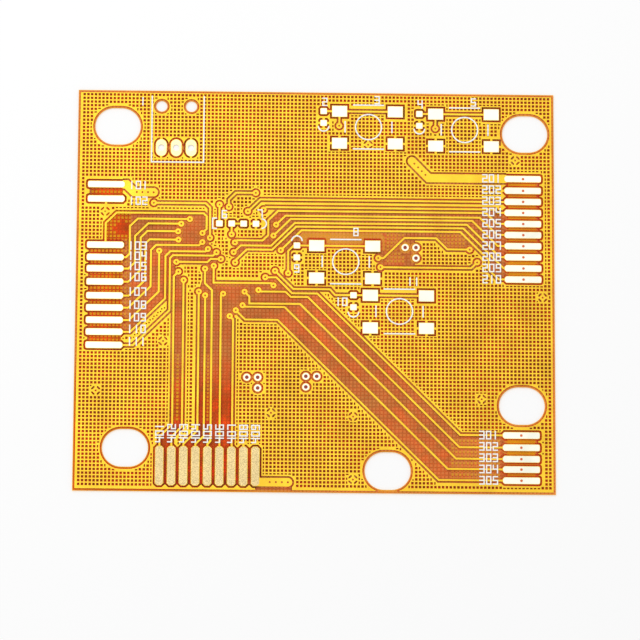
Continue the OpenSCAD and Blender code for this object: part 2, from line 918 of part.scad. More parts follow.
module legend() {
    color("white")
        translate([0, 0, z_ink])
            linear_extrude(ink_t) {
                for (i = [0:3]) {
                    switch_outline(i);
                }
                for (s = [-1, 1]) {
                    ink_y(pin_mid + [0.2 + s * 3.5, 2.6], 9.2);
                }
                ink_x(pin_mid + [0.2, -2], 7 + ink_w);
                ink_arc(ground_chips[0] + [0, -0.45], 0.7, -90);
                ink_arc(ground_chips[1] + [0, -0.45], 0.7, -90);
                ink_arc(live_chips[2] + [0, 0.6], 0.7, 90);
                ink_arc(ground_chips[3] + [0, -0.65], 0.7, -90);
                ink_arc(ground_chips[4] + [0.75, 0], 0.65, 0);
                ink_y(live_chips[4] + [-0.9, 0], 1.4);
                for (s = [-1, 1]) {
                    ink_x(live_chips[4] + [-0.65, s * 0.7], 0.5 + ink_w);
                }
            }
}

base_film();
top_ground();
bottom_ground();
bottom_lands();
left_tracks();
right_tracks();
lower_right_tracks();
bottom_tracks();
centre_links();
left_power();
right_power();
bottom_power();
switch_link(0);  // switch_1_link
switch_link(1);  // switch_2_link
switch_link(2);  // switch_3_link
switch_link(3);  // switch_4_link
header_pads();
test_pads();
via_barrels();
left_gold();
right_gold();
lower_right_gold();
bottom_gold();
switch_gold();
chip_gold();
header_gold();
test_gold();
top_cover();
bottom_cover();
legend();
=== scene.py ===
"""Bare flexible circuit board: the looks of its films, copper, gold and printed legend.

The copper planes are rebuilt with their square openings, the films are tinted and clear, and
plain running numbers stand beside the contacts. Lengths are in millimetres unless a comment or
a description says metres, and every mesh is written in metres.
"""

import math

import bmesh
import bpy
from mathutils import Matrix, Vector, geometry
from mathutils.bvhtree import BVHTree


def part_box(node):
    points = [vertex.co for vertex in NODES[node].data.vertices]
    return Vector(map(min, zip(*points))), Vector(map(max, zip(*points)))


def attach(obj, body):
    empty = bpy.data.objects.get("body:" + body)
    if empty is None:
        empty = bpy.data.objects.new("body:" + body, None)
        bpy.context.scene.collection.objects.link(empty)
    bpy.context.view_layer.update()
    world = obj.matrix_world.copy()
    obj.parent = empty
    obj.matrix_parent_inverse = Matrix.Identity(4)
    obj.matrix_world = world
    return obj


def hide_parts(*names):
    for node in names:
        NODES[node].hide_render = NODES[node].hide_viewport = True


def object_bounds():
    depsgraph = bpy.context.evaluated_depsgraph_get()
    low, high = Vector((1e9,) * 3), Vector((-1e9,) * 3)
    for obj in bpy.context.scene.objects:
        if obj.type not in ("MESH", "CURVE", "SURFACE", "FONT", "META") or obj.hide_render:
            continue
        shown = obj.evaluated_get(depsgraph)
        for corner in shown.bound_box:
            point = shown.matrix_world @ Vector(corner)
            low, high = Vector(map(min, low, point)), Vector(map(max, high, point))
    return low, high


bl_info = {
    "name": "Flexible circuit board",
    "version": (1, 0, 0),
    "blender": (4, 5, 0),
    "location": "View3D > Sidebar > Circuit board",
    "description": "Films, meshed copper, gold contacts and legend of a bare flexible circuit",
    "category": "Object",
}

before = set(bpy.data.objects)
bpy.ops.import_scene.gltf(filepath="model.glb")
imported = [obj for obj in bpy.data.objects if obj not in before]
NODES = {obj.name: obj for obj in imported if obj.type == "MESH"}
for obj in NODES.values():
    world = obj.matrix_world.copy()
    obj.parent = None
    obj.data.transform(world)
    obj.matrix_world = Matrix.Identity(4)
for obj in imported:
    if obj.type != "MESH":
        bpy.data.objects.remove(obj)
CAD_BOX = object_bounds()
BODY = "root"

# One millimetre in metres, and the hair of air between a clear layer and the foil beside it
MM = 0.001
AIR = 0.002

# An opening too close to an outline loses this share of its side
TRIM = 0.42

# Windows of meshed copper below the tracks, as low and high corners
LOW_WINDOWS = [
    (-30.5, -9, -24.8, 15), (-28, 7, -25, 10.5), (-18.8, -18, -16.6, -9),
    (-15.2, -18, -13.6, -9), (9.5, 3.8, 12, 8), (16, 6, 20, 8), (18, -25.8, 25, -20),
    (-13.5, 0.2, -9, 1.0),
]

# Middle and radius of a solid spot in those windows
SOLID_DISC = (-25.9, 8.3, 1.0)

# Rows of contacts with clear amber between them, as low and high corners
CLEAR_GAPS = [
    (25.9, 1.9, 29.7, 15.7), (25.6, -25.5, 29.3, -19.1), (-30.2, -7.4, -25.8, 5.7),
    (-30.2, 12.6, -25.8, 13.8), (-28.6, 6.8, -24.8, 11.2), (-21.6, -25.8, -8.2, -21.2),
]

# Painted shade in the adhesive, standing for the shade beside the copper's edges: 1 at the windows
# round the pads, and beside copper 0.5, the full shade, which fades with distance and is gone at
# half of the fade length
FULL_SHADE = 0.5
SHADE_FADE = 0.56
WINDOW_RIM = 0.32
BOARD_RIM = 0.5
CLEAR_SHARE = 0.3
HAZE_LIMIT = 0.4

# Round spots: radius and places of those on the contacts, radius and heights of the dark discs of
# painted shade in the holes of the test pads, and their number of sides
MARK_RADIUS = 0.18
MARK_COLUMNS = {"right_gold": 27.85, "lower_right_gold": 27.45}
HOLE_SHADE_RADIUS = 0.24
HOLE_SHADE_HEIGHTS = (0.1, 0.104)
SPOT_SIDES = 16
MARK_COLOUR = (0.72, 0.14, 0.03)
# Dark red of the painted shade in the test pads' holes
HOLE_SHADE_COLOUR = (0.33, 0.03, 0.012)

# The least gap along Y between two contacts of a column
CONTACT_GAP = 0.35

# Half the side of the floor and its height; the floor's colour, and the share of plain white
# that it shows
FLOOR_REACH = 900
FLOOR_HEIGHT = -0.02
FLOOR_COLOUR = (0.97, 0.97, 0.97, 1)
FLOOR_WHITE = 0.4

# Lamp in metres, and the camera's turn in degrees and the point of the board that it faces
LAMP_SIZE = 0.4
LAMP_PLACE = (-0.15, 0.2, 0.5)
CAMERA_TURN = (12.54, -1.43, 0.28)
CAMERA_AIM = (0.65, -3.97)

# Light crosses six clear faces on its way to the bottom copper, and six on its way back
CLEAR_BOUNCES = 16

WHITE = (1, 1, 1, 1)
TOP_TRACKS = [
    "left_tracks", "right_tracks", "lower_right_tracks", "bottom_tracks", "centre_links",
    "left_power", "right_power", "bottom_power", "switch_1_link", "switch_2_link",
    "switch_3_link", "switch_4_link", "header_pads", "test_pads", "via_barrels",
]
PALE_GOLD = [
    "left_gold", "right_gold", "lower_right_gold", "switch_gold", "chip_gold", "test_gold",
]


# ---------------------------------------------------------------- settings

class PlaneSettings(bpy.types.PropertyGroup):
    """Sizes of the meshed copper planes"""
    pitch: bpy.props.FloatProperty(
        name="Mesh pitch", description="Distance between two openings", default=0.508, min=0.3)
    opening: bpy.props.FloatProperty(
        name="Opening", description="Side of one square opening", default=0.34, min=0.1)
    border: bpy.props.FloatProperty(
        name="Border", description="Solid copper kept along every outline", default=0.1, min=0.05)
    first_x: bpy.props.FloatProperty(
        name="Mesh start X", description="Middle of one opening, along X", default=0.29)
    first_y: bpy.props.FloatProperty(
        name="Mesh start Y", description="Middle of one opening, along Y", default=-0.11)


class LegendSettings(bpy.types.PropertyGroup):
    """Sizes of the printed numbers"""
    height: bpy.props.FloatProperty(
        name="Height", description="Height of a figure", default=1.0, min=0.4)
    stroke: bpy.props.FloatProperty(
        name="Stroke", description="Width of a printed line", default=0.17, min=0.05)


class ColourSettings(bpy.types.PropertyGroup):
    """Colours of the films and metals"""
    base_film: bpy.props.FloatVectorProperty(
        name="Base film", description="Tint of light that passes the base film",
        subtype="COLOR", size=3, default=(0.98, 0.68, 0.10))
    cover_film: bpy.props.FloatVectorProperty(
        name="Cover film", description="Tint of light that passes a cover film",
        subtype="COLOR", size=3, default=(0.99, 0.885, 0.32))
    # Deep red of the adhesive beside copper and in the openings, a painted shade of the copper's
    # edges
    adhesive: bpy.props.FloatVectorProperty(
        name="Adhesive", description="Tint of the adhesive close to copper",
        subtype="COLOR", size=3, default=(0.80, 0.03, 0.30))
    # Near-black red at the windows round the pads, a painted shade outline
    outline: bpy.props.FloatVectorProperty(
        name="Pad outline", description="Tint of the adhesive at the windows round the pads",
        subtype="COLOR", size=3, default=(0.32, 0.02, 0.08))
    top_copper: bpy.props.FloatVectorProperty(
        name="Top copper", description="Copper of the printed side",
        subtype="COLOR", size=3, default=(0.99, 0.74, 0.34))
    low_copper: bpy.props.FloatVectorProperty(
        name="Bottom copper", description="Outer side of the bottom foil",
        subtype="COLOR", size=3, default=(0.95, 0.68, 0.32))
    bonded_copper: bpy.props.FloatVectorProperty(
        name="Bonded copper", description="Treated side of the bottom foil, against the base film",
        subtype="COLOR", size=3, default=(0.80, 0.08, 0.15))
    haze: bpy.props.FloatVectorProperty(
        name="Haze", description="Milky bloom of the adhesive in wide gaps",
        subtype="COLOR", size=3, default=(1.0, 0.45, 0.95))
    # Gold of the side contacts and switch pads, painted near white as a painted highlight of the
    # bright pads
    pale_gold: bpy.props.FloatVectorProperty(
        name="Gold", description="Finish of the side contacts and switch pads",
        subtype="COLOR", size=3, default=(0.96, 0.95, 0.82))
    header_gold: bpy.props.FloatVectorProperty(
        name="Header gold", description="Finish of the header's plated holes",
        subtype="COLOR", size=3, default=(0.94, 0.88, 0.50))
    worn_gold: bpy.props.FloatVectorProperty(
        name="Worn gold", description="Finish of the bottom contacts",
        subtype="COLOR", size=3, default=(0.90, 0.69, 0.31))
    ink: bpy.props.FloatVectorProperty(
        name="Ink", description="Printed legend",
        subtype="COLOR", size=3, default=(0.98, 0.98, 0.96))


class StageSettings(bpy.types.PropertyGroup):
    """Camera and light"""
    distance: bpy.props.FloatProperty(
        name="Distance", description="From the camera to the board, in metres", default=0.6,
        unit="LENGTH")
    lens: bpy.props.FloatProperty(
        name="Lens", description="Focal length in millimetres", default=253)
    lamp: bpy.props.FloatProperty(
        name="Lamp", description="Power of the soft lamp, in watts", default=1.6)
    world: bpy.props.FloatProperty(
        name="World", description="Strength of the light from all round", default=0.6)


# ---------------------------------------------------------------- meshes

def add_prism(verts, faces, ring, low, high):
    """Adds an upright prism over a ring of points to the lists of a mesh."""
    first, count = len(verts), len(ring)
    for z in (low, high):
        verts.extend((x, y, z) for x, y in ring)
    faces.append(tuple(first + k for k in reversed(range(count))))
    faces.append(tuple(first + count + k for k in range(count)))
    for k in range(count):
        a, b = first + k, first + (k + 1) % count
        faces.append((a, b, b + count, a + count))


def add_mesh(name, verts, faces):
    """A new object from points in millimetres."""
    mesh = bpy.data.meshes.new(name)
    mesh.from_pydata([[c * MM for c in v] for v in verts], [], faces)
    mesh.update()
    piece = bpy.data.objects.new(name, mesh)
    bpy.context.scene.collection.objects.link(piece)
    return piece


def outline_of(*nodes):
    """Points and edges of flat nodes' outlines, their heights, and their faces for look-ups."""
    points, top, walls, edges = [], [], [], []
    for node in nodes:
        mesh = NODES[node].data
        mesh.calc_loop_triangles()
        index, used = {}, {}
        first = len(points)
        vert = []
        for v in mesh.vertices:
            key = tuple(round(c / MM, 4) for c in v.co)
            if key not in index:
                index[key] = len(points)
                points.append(key)
            vert.append(index[key])
        own_low = min(p[2] for p in points[first:])
        own_high = max(p[2] for p in points[first:])
        for tri in mesh.loop_triangles:
            corners = [vert[i] for i in tri.vertices]
            if len(set(corners)) < 3:
                continue
            above = [points[c][2] > (own_low + own_high) / 2 for c in corners]
            if all(above):
                top.append(corners)
                for a, b in zip(corners, corners[1:] + corners[:1]):
                    key = (min(a, b), max(a, b))
                    used[key] = used.get(key, 0) + 1
            elif any(above):
                walls.append(corners)
        edges += [e for e, n in used.items() if n == 1]
    low = min(p[2] for p in points)
    high = max(p[2] for p in points)
    flat = [Vector(p) for p in points]
    return {
        "points": points, "edges": edges, "low": low, "high": high,
        "face": BVHTree.FromPolygons(flat, top), "wall": BVHTree.FromPolygons(flat, walls),
    }


def is_inside(shape, x, y):
    """True if a point lies on the upper faces of a flat shape."""
    hit = shape["face"].ray_cast(Vector((x, y, shape["high"] + 1)), Vector((0, 0, -1)))
    return hit[0] is not None


def wall_distance(shape, x, y):
    """Distance from a point to the nearest outline of a flat shape."""
    middle = (shape["low"] + shape["high"]) / 2
    return shape["wall"].find_nearest(Vector((x, y, middle)))[3]


def box_is_clear(shape, box, border):
    """True if a rectangle lies in copper and keeps the border from every outline."""
    x0, y0, x1, y1 = box
    return all(
        is_inside(shape, x, y) and wall_distance(shape, x, y) > border
        for x in (x0, (x0 + x1) / 2, x1) for y in (y0, (y0 + y1) / 2, y1)
    )


def grid_steps(step):
    """Numbers of the columns and of the rows of a grid that covers the board."""
    counts = [math.ceil(half / MM / step) + 1 for half in CAD_BOX[1][:2]]
    return [range(-count, count + 1) for count in counts]


# Sides of an opening that are trimmed, as left, lower, right and upper, in the order tried
TRIMMED_SIDES = [
    (0, 0, 0, 0), (1, 0, 0, 0), (0, 1, 0, 0), (0, 0, 1, 0), (0, 0, 0, 1),
    (1, 1, 0, 0), (0, 1, 1, 0), (0, 0, 1, 1), (1, 0, 0, 1),
]


def lay_openings(shape, plane, shift, keep_solid):
    """Square openings of the mesh by column and row, trimmed where an outline is too close."""
    half, cut = plane.opening / 2, plane.opening * TRIM
    columns, rows = grid_steps(plane.pitch)
    openings = {}
    for i in columns:
        for j in rows:
            x = plane.first_x + shift + i * plane.pitch
            y = plane.first_y + shift + j * plane.pitch
            if keep_solid(x, y):
                continue
            for a, b, c, d in TRIMMED_SIDES:
                box = (
                    x - half + cut * a, y - half + cut * b,
                    x + half - cut * c, y + half - cut * d,
                )
                if box_is_clear(shape, box, plane.border):
                    openings[i, j] = box
                    break
    return openings


def opening_at(openings, plane, shift, x, y):
    """The opening that a point lies in, or None."""
    i = round((x - plane.first_x - shift) / plane.pitch)
    j = round((y - plane.first_y - shift) / plane.pitch)
    box = openings.get((i, j))
    return box if box and box[0] < x < box[2] and box[1] < y < box[3] else None


class Sketch:
    """A flat drawing of points and edges that can be cut into triangles"""

    def __init__(self):
        self.flat, self.edges, self.index = [], [], {}

    def number(self, x, y):
        """The number of a point, which is added if it is new."""
        key = (round(x, 4), round(y, 4))
        if key not in self.index:
            self.index[key] = len(self.flat)
            self.flat.append(Vector(key))
        return self.index[key]

    def add_outline(self, shape):
        for a, b in shape["edges"]:
            ends = [self.number(*shape["points"][k][:2]) for k in (a, b)]
            if ends[0] != ends[1]:
                self.edges.append(ends)

    def add_openings(self, openings):
        for x0, y0, x1, y1 in openings.values():
            ring = [self.number(*p) for p in ((x0, y0), (x1, y0), (x1, y1), (x0, y1))]
            self.edges += list(zip(ring, ring[1:] + ring[:1]))

    def triangles(self, is_kept):
        """All points, and the triangles whose middle passes the test."""
        points, _, faces, *_ = geometry.delaunay_2d_cdt(self.flat, self.edges, [], 0, 1e-6)
        kept = []
        for face in faces:
            x = sum(points[k][0] for k in face) / 3
            y = sum(points[k][1] for k in face) / 3
            if is_kept(x, y):
                kept.append(tuple(face))
        return points, kept


def meshed_plane(name, node, plane, shift, keep_solid):
    """A copper plane with its square openings, as one closed mesh, and those openings."""
    shape = outline_of(node)
    openings = lay_openings(shape, plane, shift, keep_solid)
    if not openings:
        raise RuntimeError(f"no opening fits in {node}")
    sketch = Sketch()
    sketch.add_outline(shape)
    sketch.add_openings(openings)

    def is_copper(x, y):
        return is_inside(shape, x, y) and not opening_at(openings, plane, shift, x, y)

    points, solid = sketch.triangles(is_copper)
    return close_sheet(name, points, solid, shape["low"], shape["high"]), openings


def adhesive_sheet(name, plane, openings):
    """The adhesive that fills the top foil's openings and gaps, with painted shade that makes it
    darker close to the copper.
    """
    copper = outline_of("top_ground", *[n for n in TOP_TRACKS if n != "via_barrels"])
    film, base = outline_of("top_cover"), outline_of("base_film")
    low, high = (corner[2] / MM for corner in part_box("top_ground"))
    sketch = Sketch()
    sketch.add_outline(copper)
    sketch.add_outline(film)
    sketch.add_openings(openings)
    step = plane.pitch / 2
    columns, rows = grid_steps(step)
    for i in columns:
        for j in rows:
            x, y = i * step, j * step
            if is_inside(film, x, y) and not is_inside(copper, x, y):
                sketch.number(x, y)

    def is_glued(x, y):
        return is_inside(film, x, y) and (
            opening_at(openings, plane, 0, x, y) or not is_inside(copper, x, y))

    points, glued = sketch.triangles(is_glued)
    piece = close_sheet(name, points, glued, low + AIR, high - AIR)
    # Strength of the painted shade beside the copper, kept on each point for the adhesive's
    # material
    tint = piece.data.attributes.new("painted_copper_shade", "FLOAT", "POINT")
    milk = piece.data.attributes.new("milk", "FLOAT", "POINT")
    for k, vert in enumerate(piece.data.vertices):
        x, y = vert.co.x / MM, vert.co.y / MM
        near = tint_at(copper, film, base, x, y)
        clear = any(a < x < c and b < y < d for a, b, c, d in CLEAR_GAPS)
        tint.data[k].value = near * CLEAR_SHARE if clear else near
        milk.data[k].value = 0.0 if clear or near > HAZE_LIMIT else 1.0
    return piece


def tint_at(copper, film, base, x, y):
    """How strong the adhesive's painted shade is: full in openings, doubled at the pad windows."""
    if is_inside(copper, x, y):
        return FULL_SHADE
    near = max(0.0, FULL_SHADE - wall_distance(copper, x, y) / SHADE_FADE)
    at_window = wall_distance(film, x, y) < WINDOW_RIM
    at_edge = wall_distance(base, x, y) < BOARD_RIM
    # The pad windows get a doubled painted shade as a dark outline, but not close to the board's
    # edge
    return near * 2 if at_window and not at_edge else near


def eased_copy(name, node):
    """A film of the same outline that keeps a hair of air from the foils above and below it."""
    shape = outline_of(node)
    source = NODES[node].data
    piece = bpy.data.objects.new(name, source.copy())
    bpy.context.scene.collection.objects.link(piece)
    for vert in piece.data.vertices:
        top = vert.co.z / MM > (shape["low"] + shape["high"]) / 2
        edge = shape["high"] if top else shape["low"]
        vert.co.z = (edge - AIR if top else edge + AIR) * MM
    weld = bmesh.new()
    weld.from_mesh(piece.data)
    bmesh.ops.remove_doubles(weld, verts=weld.verts, dist=1e-4 * MM)
    weld.to_mesh(piece.data)
    weld.free()
    return piece


def close_sheet(name, points, faces, low, high):
    """A flat sheet of triangles given its underside and its walls."""
    flat, faces = part_corners(points, faces)
    count = len(flat)
    verts = [(x, y, high) for x, y in flat] + [(x, y, low) for x, y in flat]
    rim, made = {}, []
    for a, b, c in faces:
        made += [(a, b, c), (c + count, b + count, a + count)]
        for p, q in ((a, b), (b, c), (c, a)):
            if (q, p) in rim:
                del rim[q, p]
            else:
                rim[p, q] = True
    for p, q in rim:
        made.append((q, p, p + count, q + count))
    return add_mesh(name, verts, made)


def part_corners(points, faces):
    """Gives each side of a sheet its own point where two sides meet at a corner only."""
    lead = {(f, k): (f, k) for f, face in enumerate(faces) for k in face}

    def first(corner):
        while lead[corner] != corner:
            corner = lead[corner]
        return corner

    beside = {}
    for f, (a, b, c) in enumerate(faces):
        for p, q in ((a, b), (b, c), (c, a)):
            other = beside.setdefault((min(p, q), max(p, q)), f)
            if other != f:
                for k in (p, q):
                    lead[first((f, k))] = first((other, k))
    new, flat, parted = {}, [], []
    for f, face in enumerate(faces):
        ring = []
        for k in face:
            corner = first((f, k))
            if corner not in new:
                new[corner] = len(flat)
                flat.append((points[k][0], points[k][1]))
            ring.append(new[corner])
        parted.append(tuple(ring))
    return flat, parted


# Strokes of the figures in a box one wide and two high
FIGURES = {
    "0": [[(0, 0), (1, 0), (1, 2), (0, 2), (0, 0)]],
    "1": [[(0.5, 0), (0.5, 2)]],
    "2": [[(0, 2), (1, 2), (1, 1), (0, 1), (0, 0), (1, 0)]],
    "3": [[(0, 2), (1, 2), (1, 0), (0, 0)], [(0, 1), (1, 1)]],
    "4": [[(0, 2), (0, 1), (1, 1)], [(1, 2), (1, 0)]],
    "5": [[(1, 2), (0, 2), (0, 1), (1, 1), (1, 0), (0, 0)]],
    "6": [[(1, 2), (0, 2), (0, 0), (1, 0), (1, 1), (0, 1)]],
    "7": [[(0, 2), (1, 2), (1, 0)]],
    "8": [[(0, 0), (1, 0), (1, 2), (0, 2), (0, 0)], [(0, 1), (1, 1)]],
    "9": [[(1, 1), (0, 1), (0, 2), (1, 2), (1, 0), (0, 0)]],
}


def figure_rings(figure, wide, unit, width):
    """Outlines of one figure's straight bars, which meet without lapping over each other."""
    half = width / 2
    bars = set()
    for stroke in FIGURES[figure]:
        for a, b in zip(stroke, stroke[1:]):
            bars.add((min(a, b), max(a, b)))
    rings = []
    for (x0, y0), (x1, y1) in sorted(bars):
        if x0 == x1:
            # an upright bar runs through the corners, and a level bar stops at it
            box = (x0 * wide - half, y0 * unit - half, x1 * wide + half, y1 * unit + half)
        else:
            left = x0 * wide + (half if upright_at(bars, x0, y0) else -half)
            right = x1 * wide - (half if upright_at(bars, x1, y1) else -half)
            box = (left, y0 * unit - half, right, y0 * unit + half)
        rings.append(box)
    merged = merge_uprights(rings, half)
    return [
        [Vector((a, b)), Vector((c, b)), Vector((c, d)), Vector((a, d))] for a, b, c, d in merged
    ]


def is_narrow(box, half):
    """True if a bar is one stroke wide, and so upright."""
    return box[2] - box[0] < 2.5 * half


def upright_at(bars, x, y):
    """True if an upright bar passes a corner of the figure."""
    return any(p[0] == q[0] == x and p[1] <= y <= q[1] for p, q in bars)


def merge_uprights(boxes, half):
    """Joins upright bars on one line that touch, so that no face is laid twice."""
    merged = []
    for box in boxes:
        for k, other in enumerate(merged):
            in_line = (
                abs(other[0] - box[0]) < 1e-6 and is_narrow(box, half) and is_narrow(other, half))
            if in_line and box[1] <= other[3] and other[1] <= box[3]:
                merged[k] = (
                    other[0], min(other[1], box[1]), other[2], max(other[3], box[3]))
                break
        else:
            merged.append(box)
    return merged


def add_spot(verts, faces, middle, radius, heights):
    """Adds a thin round disc to the lists of a mesh."""
    turns = [math.tau * k / SPOT_SIDES for k in range(SPOT_SIDES)]
    ring = [
        (middle[0] + radius * math.cos(turn), middle[1] + radius * math.sin(turn))
        for turn in turns
    ]
    add_prism(verts, faces, ring, *heights)


def contact_marks(name):
    """Small round spots in the middle of the right and lower right contacts."""
    verts, faces = [], []
    for node, x in MARK_COLUMNS.items():
        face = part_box(node)[1][2] / MM
        for y in contact_middles(node):
            add_spot(verts, faces, (x, y), MARK_RADIUS, (face + AIR, face + 2 * AIR))
    return add_mesh(name, verts, faces)


def test_hole_marks(name):
    """Dark red discs low in the holes of the test pads, painted shade of the deep holes."""
    verts, faces = [], []
    for middle in solid_middles("test_gold"):
        add_spot(verts, faces, middle, HOLE_SHADE_RADIUS, HOLE_SHADE_HEIGHTS)
    return add_mesh(name, verts, faces)


def solid_middles(node):
    """Middle of each separate solid of a node, seen from above."""
    body = bmesh.new()
    body.from_mesh(NODES[node].data)
    bmesh.ops.remove_doubles(body, verts=body.verts, dist=1e-7)
    unseen = set(body.verts)
    middles = []
    while unseen:
        queue, points = [unseen.pop()], []
        while queue:
            vert = queue.pop()
            points.append(vert.co / MM)
            for edge in vert.link_edges:
                other = edge.other_vert(vert)
                if other in unseen:
                    unseen.remove(other)
                    queue.append(other)
        middles.append(tuple(
            (min(p[axis] for p in points) + max(p[axis] for p in points)) / 2 for axis in (0, 1)))
    body.free()
    return sorted(middles)


def contact_middles(node):
    """Middles along Y of a column of contacts."""
    heights = sorted(v.co.y / MM for v in NODES[node].data.vertices)
    contacts = [[heights[0]]]
    for y in heights[1:]:
        if y - contacts[-1][-1] > CONTACT_GAP:
            contacts.append([])
        contacts[-1].append(y)
    return [(contact[0] + contact[-1]) / 2 for contact in contacts]


def number_places():
    """Middle, turn and figures of each printed number, counted up along each row of contacts."""
    left = [14.25, 12.1, 5.9, 4.5, 3.1, 1.6, -0.4, -2.2, -3.9, -5.5, -7.2]
    right = [15.7 - 1.545 * i for i in range(10)]
    low = [-19.45 - 1.525 * i for i in range(5)]
    places = [((-23.8, y), 0, 101 + i) for i, y in enumerate(left)]
    places += [((23.6, y), 0, 201 + i) for i, y in enumerate(right)]
    places += [((23.1, y), 0, 301 + i) for i, y in enumerate(low)]
    places += [((-20.55 + 1.59 * i, -19.6), 90, 401 + i) for i in range(9)]
    parts = [
        (-23.35, 25.9), (1.15, 26.1), (8.2, 26.4), (14, 25.9), (21.2, 26.25), (-12.25, 10.35),
        (-7.45, 10.5), (5.4, 8.1), (-2.5, 3.0), (3.5, -1.5), (13.1, 1.35),
    ]
    places += [(p, 0, 1 + i) for i, p in enumerate(parts)]
    return places


def printed_numbers(name, legend):
    """All the plain numbers, as flat printed strokes on the cover film."""
    low, high = (corner[2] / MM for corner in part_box("legend"))
    unit = legend.height / 2
    wide = unit * 1.1
    step = wide + legend.stroke * 2
    verts, faces = [], []
    for (x, y), turn, value in number_places():
        text = str(value)
        across = len(text) * step - legend.stroke * 2
        c, s = math.cos(math.radians(turn)), math.sin(math.radians(turn))
        for i, figure in enumerate(text):
            for ring in figure_rings(figure, wide, unit, legend.stroke):
                level = [Vector((p.x + i * step - across / 2, p.y - unit)) for p in ring]
                turned = [(x + c * p.x - s * p.y, y + s * p.x + c * p.y) for p in level]
                add_prism(verts, faces, turned, low, high)
    return add_mesh(name, verts, faces)


# ---------------------------------------------------------------- materials

class Nodes:
    """Short way to lay out the nodes of one material."""

    def __init__(self, name):
        self.material = bpy.data.materials.new(name)
        self.material.use_nodes = True
        self.tree = self.material.node_tree
        self.tree.nodes.clear()
        self.out = self.add("ShaderNodeOutputMaterial")

    def add(self, kind, inputs=None, **values):
        node = self.tree.nodes.new(kind)
        for key, value in values.items():
            setattr(node, key, value)
        for key, value in (inputs or {}).items():
            if isinstance(value, bpy.types.NodeSocket):
                self.tree.links.new(value, node.inputs[key])
            else:
                node.inputs[key].default_value = value
        return node

    def place(self):
        return self.add("ShaderNodeTexCoord").outputs["Object"]

    def noise(self, size, detail=2.0):
        """Soft noise whose lumps are about the given size in millimetres."""
        return self.add(
            "ShaderNodeTexNoise",
            {"Vector": self.place(), "Scale": 1 / (size * MM), "Detail": detail},
        ).outputs["Fac"]

    def ramp(self, factor, stops):
        """Colours at rising positions from 0 to 1."""
        node = self.add("ShaderNodeValToRGB", {"Fac": factor})
        marks = node.color_ramp.elements
        while len(marks) < len(stops):
            marks.new(1.0)
        for mark, (position, colour) in zip(marks, stops):
            mark.position = position
            mark.color = (*colour, 1)
        return node.outputs["Color"]

    def span(self, factor, low, high):
        """Spreads a factor from 0 to 1 over another span."""
        return self.add(
            "ShaderNodeMapRange", {"Value": factor, "To Min": low, "To Max": high}
        ).outputs["Result"]

    def bump(self, factor, strength, depth):
        return self.add(
            "ShaderNodeBump",
            {"Height": factor, "Strength": strength, "Distance": depth * MM},
        ).outputs["Normal"]

    def math(self, operation, a, b=0.0):
        return self.add("ShaderNodeMath", {0: a, 1: b}, operation=operation).outputs[0]

    def mix(self, factor, a, b, blend="MIX"):
        return self.add(
            "ShaderNodeMix", {"Factor": factor, 6: a, 7: b}, data_type="RGBA", blend_type=blend
        ).outputs[2]

    def part(self, vector, axis):
        return self.add("ShaderNodeSeparateXYZ", {"Vector": vector}).outputs[axis]

    def back(self):
        return self.add("ShaderNodeNewGeometry").outputs["Backfacing"]

    def clear(self, tint):
        """Clear shader that takes the tint of light on its way in, and none on its way out."""
        return self.add("ShaderNodeBsdfTransparent", {"Color": self.mix(self.back(), tint, WHITE)})

    def skin(self, colour, rough, grain, **values):
        """Plain surface with a grain of the given size, strength and depth."""
        size, detail, strength, depth = grain
        return self.add("ShaderNodeBsdfPrincipled", {
            "Base Color": colour, "Roughness": rough,
            "Normal": self.bump(self.noise(size, detail), strength, depth), **values,
        })

    def blend(self, share, first, second):
        return self.add("ShaderNodeMixShader", {
            0: share, 1: first.outputs[0], 2: second.outputs[0]})

    def finish(self, shader):
        self.tree.links.new(shader.outputs[0], self.out.inputs["Surface"])
        return self.material


def shade(colour, factor):
    """A colour made darker or paler."""
    return tuple(min(1.0, c * factor) for c in colour)


def film_material(name, tint, gloss):
    """Clear tinted film. Light takes the tint once for each film that it enters."""
    n = Nodes(name)
    colour = n.ramp(n.noise(6.0, 3.0), [(0.3, shade(tint, 0.95)), (0.7, shade(tint, 1.03))])
    skin = n.skin(colour, n.span(n.noise(0.8), 0.16, 0.3), (1.4, 2.0, 0.12, 0.02))
    return n.finish(n.blend(gloss, n.clear(colour), skin))


def mesh_marks(n, pitch):
    """Soft lines at the pitch of the meshed planes, from -1 to 1."""
    waves = []
    for axis in ("X", "Y"):
        turn = n.math("MULTIPLY", n.part(n.place(), axis), math.tau / (pitch * MM))
        waves.append(n.math("COSINE", turn))
    return n.math("MAXIMUM", *waves)


def low_corner(n):
    """Fades from 0 to 1 towards the board's lower contacts."""
    fades = [
        n.add("ShaderNodeMapRange", {
            "Value": n.part(n.place(), axis), "From Min": start * MM, "From Max": end * MM,
        }).outputs["Result"]
        for axis, start, end in (("Y", -9, -15), ("X", -8, -11))
    ]
    return n.math("MULTIPLY", *fades)


